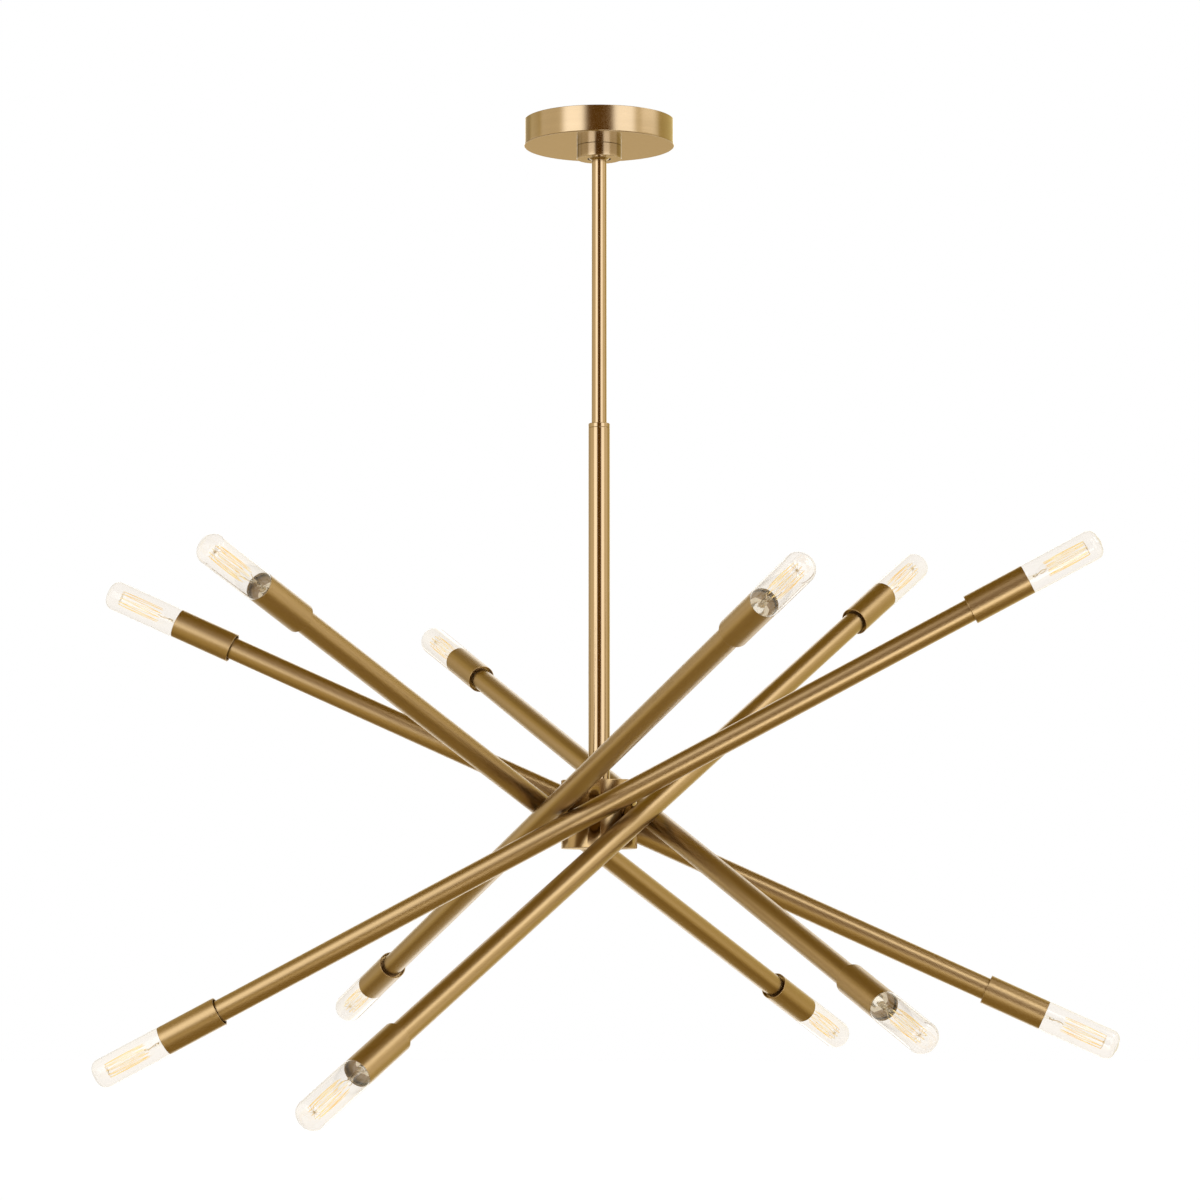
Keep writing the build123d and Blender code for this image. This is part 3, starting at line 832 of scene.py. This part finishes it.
dress(zincPlate, "mounting_bar", "swivel_locknut", "swivel_cap", "swivel_barrel", "hub_nipple", "hub_locknut")
dress(nylon, "swivel_seat")
dress(turnedBrass, "arm_pivots", *[f"arm_{n}_pivot_block" for n in armNumbers])
dress(holderPlastic, *[f"arm_{n}_lamp_holders" for n in armNumbers])
dress(capBrass, *[f"arm_{n}_bulb_caps" for n in armNumbers])
print("CAD pieces dressed")


floorLook = {"below": 1.9, "size": 40.0, "colour": (0.88, 0.88, 0.88), "rough": 0.9, "glow": 0.70}
worldLook = {"colour": (1.0, 0.985, 0.96), "strength": 0.30}

# azimuths go to the right from the camera, elevations up from level, and size is width and height
softboxes = {
    "topBox": {"azimuth": 0, "elevation": 89.9, "distance": 2.6, "size": (1.6, 1.6), "glow": 3.0},
    "leftStrip": {"azimuth": -39, "elevation": 15, "distance": 2.3, "size": (1.05, 1.9), "glow": 1.35},
    "rightStrip": {"azimuth": 39, "elevation": 16, "distance": 2.3, "size": (1.05, 1.8), "glow": 1.25},
    "lowBox": {"azimuth": 15, "elevation": -25, "distance": 2.3, "size": (1.10, 0.90), "glow": 2.2},
    "highBox": {"azimuth": 22, "elevation": 39, "distance": 2.3, "size": (0.60, 0.36), "glow": 4.0},
    "sideBox": {"azimuth": 82, "elevation": 34, "distance": 2.3, "size": (0.80, 0.80), "glow": 1.9},
}

# the cards round the object, as patches of a sphere: azimuth and elevation from and to, how soft their edges
# are in degrees, and their colour. The last five are bright and stand for the softboxes, which metal doesn't
# see. aboveFrom and belowFrom are where the level colour ends, and how softly, and beyond is past the poles
domeLook = {
    "radius": 2.4, "azimuths": 180, "elevations": 89, "lastElevation": 88, "beyond": 200,
    "above": (0.363, 0.22, 0.022), "level": (0.88, 0.682, 0.264), "below": (0.506, 0.348, 0.11),
    "aboveFrom": (42, 16), "belowFrom": (44, 12),
    "cards": [
        {"azimuth": (-28, 28), "elevation": (-14, 44), "soft": 10, "colour": (0.242, 0.114, 0.018)},
        {"azimuth": (52, 102), "elevation": (-24, 36), "soft": 10, "colour": (1.496, 1.32, 0.946)},
        {"azimuth": (-100, -52), "elevation": (-20, 36), "soft": 10, "colour": (1.364, 1.188, 0.836)},
        {"azimuth": (-128, -104), "elevation": (-14, 26), "soft": 8, "colour": (1.1, 0.924, 0.616)},
        {"azimuth": (-156, -130), "elevation": (-40, 30), "soft": 12, "colour": (0.528, 0.396, 0.198)},
        {"azimuth": (156, 220), "elevation": (-36, 36), "soft": 12, "colour": (1.87, 1.826, 1.738)},
        {"azimuth": (-220, -156), "elevation": (-36, 36), "soft": 12, "colour": (1.87, 1.826, 1.738)},
        {"azimuth": (162, 220), "elevation": (-18, 18), "soft": 8, "colour": (0.682, 0.484, 0.231)},
        {"azimuth": (-220, -162), "elevation": (-18, 18), "soft": 8, "colour": (0.682, 0.484, 0.231)},
        {"azimuth": (60, 130), "elevation": (-58, -38), "soft": 8, "colour": (0.396, 0.253, 0.066)},
        {"azimuth": (-150, -90), "elevation": (-44, -28), "soft": 8, "colour": (0.396, 0.253, 0.066)},
        {"azimuth": (-56, -22), "elevation": (-8, 38), "soft": 14, "colour": (3.08, 3.058, 2.992)},
        {"azimuth": (22, 55), "elevation": (-6, 38), "soft": 12, "colour": (2.86, 2.838, 2.772)},
        {"azimuth": (1, 29), "elevation": (-36, -14), "soft": 6, "colour": (4.62, 4.576, 4.444)},
        {"azimuth": (9, 34), "elevation": (34, 48), "soft": 6, "colour": (4.84, 4.796, 4.62)},
        {"azimuth": (68, 95), "elevation": (28, 50), "soft": 8, "colour": (4.18, 4.114, 3.96)},
    ],
}


def seenByEye(nodes, links):
    # 1 where the camera, metal or glass looks, 0 where light is only gathered
    path = nodes.new("ShaderNodeLightPath")
    seen = path.outputs["Is Camera Ray"]
    for ray in ("Is Glossy Ray", "Is Transmission Ray"):
        either = nodes.new("ShaderNodeMath")
        either.operation = "MAXIMUM"
        links.new(seen, either.inputs[0])
        links.new(path.outputs[ray], either.inputs[1])
        seen = either.outputs[0]
    return seen


def makeFloor():
    # plain paint, with a glow of its own where it is looked at, so that it is white but keeps the shadow.
    # From below it isn't there, and gloss doesn't see it, as the dome's cards are in its place
    size, height = floorLook["size"], cadBox[1][2] - floorLook["below"]
    corners = [(x, y, height) for x, y in ((-size, -size), (size, -size), (size, size), (-size, size))]
    floor = meshPiece("floor", np.array(corners), [[0, 1, 2, 3]])
    material, tree, shader = nodeTree("floorPaint")
    nodes, links = tree.nodes, tree.links
    shader.inputs["Base Color"].default_value = (*floorLook["colour"], 1)
    shader.inputs["Roughness"].default_value = floorLook["rough"]
    shader.inputs["Emission Color"].default_value = (1, 1, 1, 1)
    glow = nodes.new("ShaderNodeMath")
    glow.operation = "MULTIPLY"
    glow.inputs[1].default_value = floorLook["glow"]
    links.new(seenByEye(nodes, links), glow.inputs[0])
    links.new(glow.outputs[0], shader.inputs["Emission Strength"])
    facing = nodes.new("ShaderNodeNewGeometry")
    clear = nodes.new("ShaderNodeBsdfTransparent")
    mix = nodes.new("ShaderNodeMixShader")
    links.new(facing.outputs["Backfacing"], mix.inputs["Fac"])
    links.new(shader.outputs["BSDF"], mix.inputs[1])
    links.new(clear.outputs["BSDF"], mix.inputs[2])
    links.new(mix.outputs["Shader"], nodes["Material Output"].inputs["Surface"])
    floor.data.materials.append(material)
    floor.visible_glossy = False


def makeWorld():
    # white where it is looked at, and an even grey light on everything. Metal looks at the dome instead
    world = bpy.data.worlds.new("studio")
    bpy.context.scene.world = world
    world.use_nodes = True
    nodes, links = world.node_tree.nodes, world.node_tree.links
    seen = nodes["Background"]
    seen.inputs["Color"].default_value = (1, 1, 1, 1)
    seen.inputs["Strength"].default_value = 1.0
    lit = nodes.new("ShaderNodeBackground")
    lit.inputs["Color"].default_value = (*worldLook["colour"], 1)
    lit.inputs["Strength"].default_value = worldLook["strength"]
    mix = nodes.new("ShaderNodeMixShader")
    links.new(seenByEye(nodes, links), mix.inputs["Fac"])
    links.new(lit.outputs["Background"], mix.inputs[1])
    links.new(seen.outputs["Background"], mix.inputs[2])
    links.new(mix.outputs["Shader"], nodes["World Output"].inputs["Surface"])


def onSphere(azimuth, elevation):
    # the direction of an azimuth and an elevation in radians: (sin a cos e, -cos a cos e, sin e)
    return np.stack([np.sin(azimuth) * np.cos(elevation), -np.cos(azimuth) * np.cos(elevation),
                     np.sin(elevation)], -1)


def addSoftbox(name, look, target):
    # an area light aimed at the hub, which only the light that is gathered sees. Its power gives the surface
    # the glow: power = glow * area * pi
    away = Vector(onSphere(math.radians(look["azimuth"]), math.radians(look["elevation"])))
    light = bpy.data.lights.new(name, "AREA")
    light.shape, light.size, light.size_y = "RECTANGLE", *look["size"]
    light.energy = look["glow"] * light.size * light.size_y * math.pi
    lamp = bpy.data.objects.new(name, light)
    lamp.location = target + away * look["distance"]
    lamp.rotation_mode, lamp.rotation_quaternion = "QUATERNION", (-away).to_track_quat("-Z", "Y")
    lamp.visible_camera = lamp.visible_transmission = lamp.visible_glossy = False
    bpy.context.scene.collection.objects.link(lamp)


def between(values, limits, soft):
    # 1 inside the limits, falling to 0 over the soft edge as a smooth step
    inside = np.minimum(values - limits[0], limits[1] - values)
    share = np.clip(inside / soft + 0.5, 0, 1)
    return share * share * (3 - 2 * share)


def addDome(target):
    # a sphere of cards that only gloss sees, on metal and on glass: each corner's glow is the level it stands
    # at, mixed from below, level and above, with the cards laid over it in turn
    look = domeLook
    azimuth, elevation = np.meshgrid(
        np.linspace(-180, 180, look["azimuths"], endpoint=False),
        np.linspace(-look["lastElevation"], look["lastElevation"], look["elevations"]))
    points = onSphere(np.radians(azimuth), np.radians(elevation)) * look["radius"]
    points = points.reshape(-1, 3) + np.array(target)
    above, level, below = [np.array(look[name]) for name in ("above", "level", "below")]
    up, down = [between(height, (start, look["beyond"]), soft)[..., None]
                for height, (start, soft) in ((elevation, look["aboveFrom"]), (-elevation, look["belowFrom"]))]
    glow = level * (1 - up - down) + above * up + below * down
    for card in look["cards"]:
        cover = between(azimuth, card["azimuth"], card["soft"])
        cover = (cover * between(elevation, card["elevation"], card["soft"]))[..., None]
        glow = glow * (1 - cover) + np.array(card["colour"]) * cover
    index = np.arange(azimuth.size).reshape(azimuth.shape)
    caps = [index[0][::-1].tolist(), index[-1].tolist()]
    quads = ringQuads(index[:-1], index[1:]).reshape(-1, 4).tolist()
    dome = meshPiece("studioDome", points, quads + caps)
    shade = np.concatenate([glow.reshape(-1, 3), np.ones((azimuth.size, 1))], 1)
    dome.data.color_attributes.new("glow", "FLOAT_COLOR", "POINT").data.foreach_set("color", shade.ravel())
    material, tree, shader = nodeTree("studioCards")
    tree.nodes.remove(shader)
    tone = tree.nodes.new("ShaderNodeAttribute")
    tone.attribute_name = "glow"
    paint = tree.nodes.new("ShaderNodeEmission")
    tree.links.new(tone.outputs["Color"], paint.inputs["Color"])
    tree.links.new(paint.outputs["Emission"], tree.nodes["Material Output"].inputs["Surface"])
    material.cycles.emission_sampling = "NONE"
    dome.data.materials.append(material)
    dome.visible_camera = dome.visible_transmission = dome.visible_diffuse = dome.visible_shadow = False


low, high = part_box("hub_body")
hubMiddle = (low + high) / 2
makeFloor()
makeWorld()
for name, look in softboxes.items():
    addSoftbox(name, look, hubMiddle)
addDome(hubMiddle)
print("studio made")


cameraLook = {"distance": 3.223, "right": 0.0007, "belowHub": 0.1158, "pitch": 4.349, "sensor": 36.0,
              "lens": 115.82, "shift": 0.05, "clip": (0.1, 200.0)}


def makeCamera():
    # it stands in front of the hub and a little below it, and looks up
    look = cameraLook
    camera = bpy.data.cameras.new("camera")
    camera.sensor_width, camera.lens, camera.shift_y = look["sensor"], look["lens"], look["shift"]
    camera.clip_start, camera.clip_end = look["clip"]
    holder = bpy.data.objects.new("camera", camera)
    holder.location = (look["right"], -look["distance"], hubMiddle.z - look["belowHub"])
    holder.rotation_euler = (math.radians(90 + look["pitch"]), 0, 0)
    bpy.context.scene.collection.objects.link(holder)
    bpy.context.scene.camera = holder


makeCamera()
bpy.context.scene.view_settings.view_transform = "Standard"
print("camera made")
